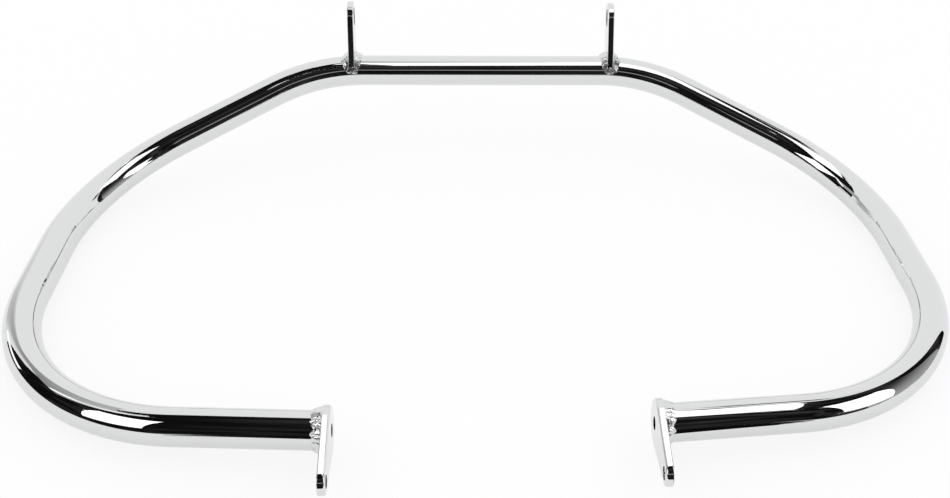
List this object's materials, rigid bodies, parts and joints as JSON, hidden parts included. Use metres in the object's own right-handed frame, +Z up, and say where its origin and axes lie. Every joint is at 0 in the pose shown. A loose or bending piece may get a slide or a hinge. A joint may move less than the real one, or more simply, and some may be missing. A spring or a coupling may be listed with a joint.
{
  "type": "motorcycle crash bar",
  "caption": "Chromed round tube bent into a wide open loop that guards a motorcycle's engine, with slotted upper tabs on its crossbar and drilled plates across its lower ends.",
  "frame": {"origin": "on the table, under the middle of the whole bar's box", "axes": "+Z up from the table that the side runs lie on, +X to the bar's right across its width, +Y from the open lower ends to the crossbar"},
  "size_m": [0.85, 0.5922, 0.1566],
  "materials": {
    "chromed_tube": "mirror-polished chrome plate",
    "chromed_tab": "polished chrome plate",
    "chromed_weld": "chrome plate over a rippled weld"
  },
  "bodies": {
    "root": {"guard_tube": "chromed_tube", "lower_right_tab": "chromed_tab", "lower_right_weld": "chromed_weld", "lower_left_tab": "chromed_tab", "lower_left_weld": "chromed_weld", "upper_right_tab": "chromed_tab", "upper_right_weld": "chromed_weld", "upper_left_tab": "chromed_tab", "upper_left_weld": "chromed_weld"}
  },
  "joints": []
}
